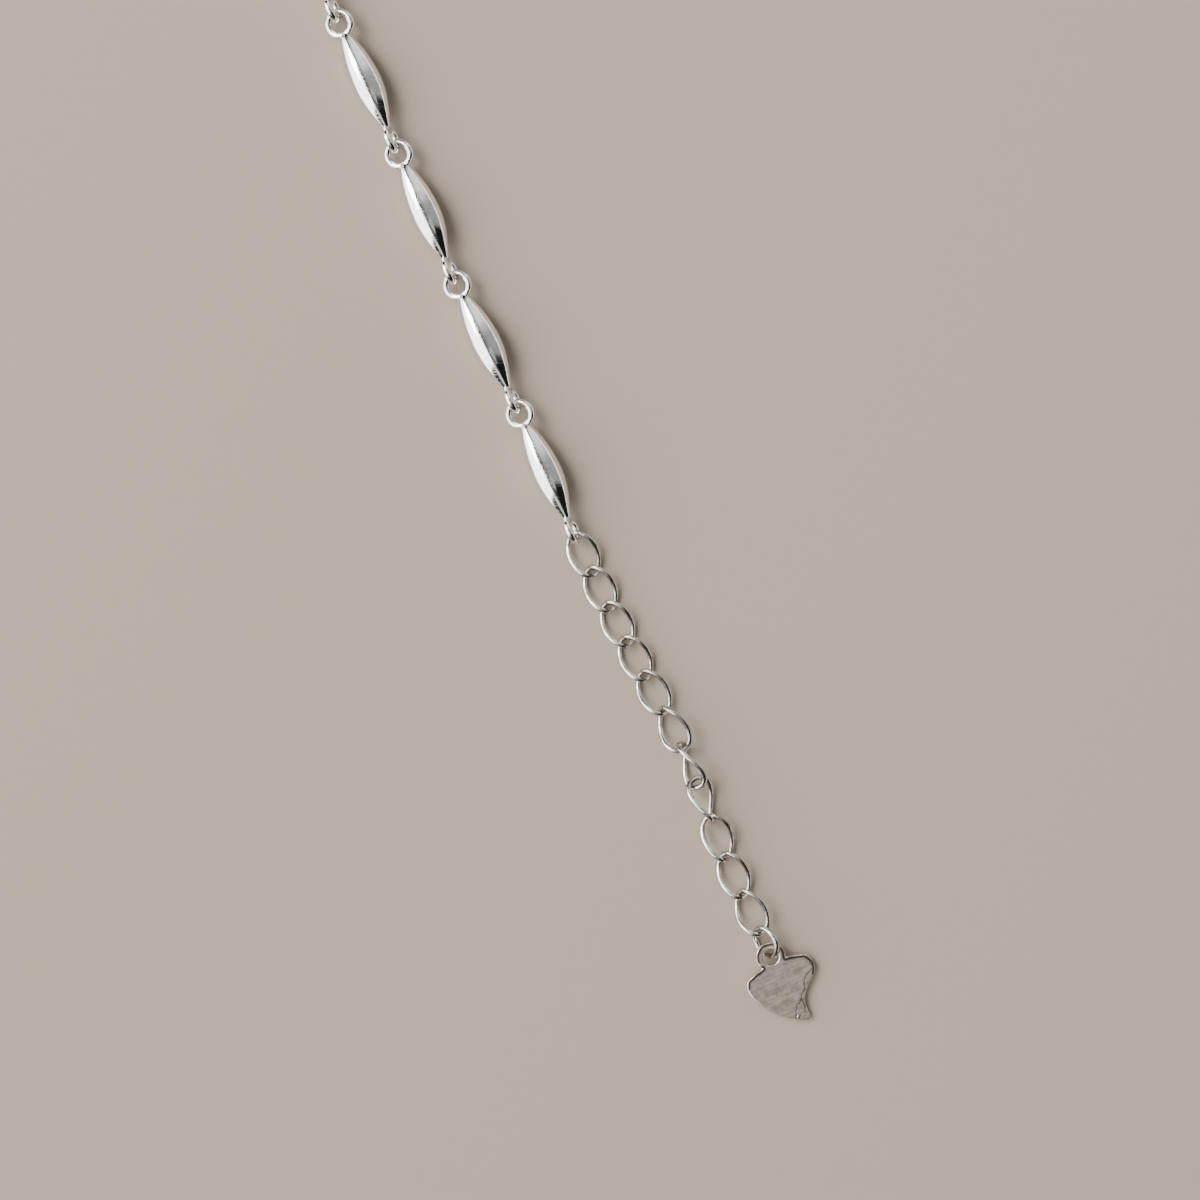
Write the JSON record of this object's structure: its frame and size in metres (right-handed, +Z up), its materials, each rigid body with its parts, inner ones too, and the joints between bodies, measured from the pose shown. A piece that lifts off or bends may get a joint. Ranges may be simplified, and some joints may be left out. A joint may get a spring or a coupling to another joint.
{
  "type": "heart bracelet",
  "caption": "Slim silver chain bracelet of polished spindle-shaped links, with a twisted-link extender chain that ends in a small flat heart tag, lying open on a surface.",
  "frame": {"origin": "centre of the bracelet's outline in plan, on the surface that it lies on", "axes": "+Z up from the surface; +Y up the picture, away from the heart tag; +X to the picture's right"},
  "size_m": [0.1052, 0.125, 0.0032],
  "materials": {
    "polished_silver": "mirror polished",
    "satin_silver": "satin, with faint stains and fine scratches"
  },
  "bodies": {
    "root": {"clasp": "polished_silver", "spindle_link_1": "polished_silver", "spindle_link_2": "polished_silver", "spindle_link_3": "polished_silver", "spindle_link_4": "polished_silver", "spindle_link_5": "polished_silver", "spindle_link_6": "polished_silver", "spindle_link_7": "polished_silver", "spindle_link_8": "polished_silver", "spindle_link_9": "polished_silver", "spindle_link_10": "polished_silver", "spindle_link_11": "polished_silver", "extender_link_1": "polished_silver", "extender_link_2": "polished_silver", "extender_link_3": "polished_silver", "extender_link_4": "polished_silver", "extender_link_5": "polished_silver", "extender_link_6": "polished_silver", "extender_link_7": "polished_silver", "extender_link_8": "polished_silver", "extender_link_9": "polished_silver", "extender_link_10": "polished_silver", "extender_link_11": "polished_silver", "jump_ring": "polished_silver", "heart_tag": "satin_silver"}
  },
  "joints": []
}
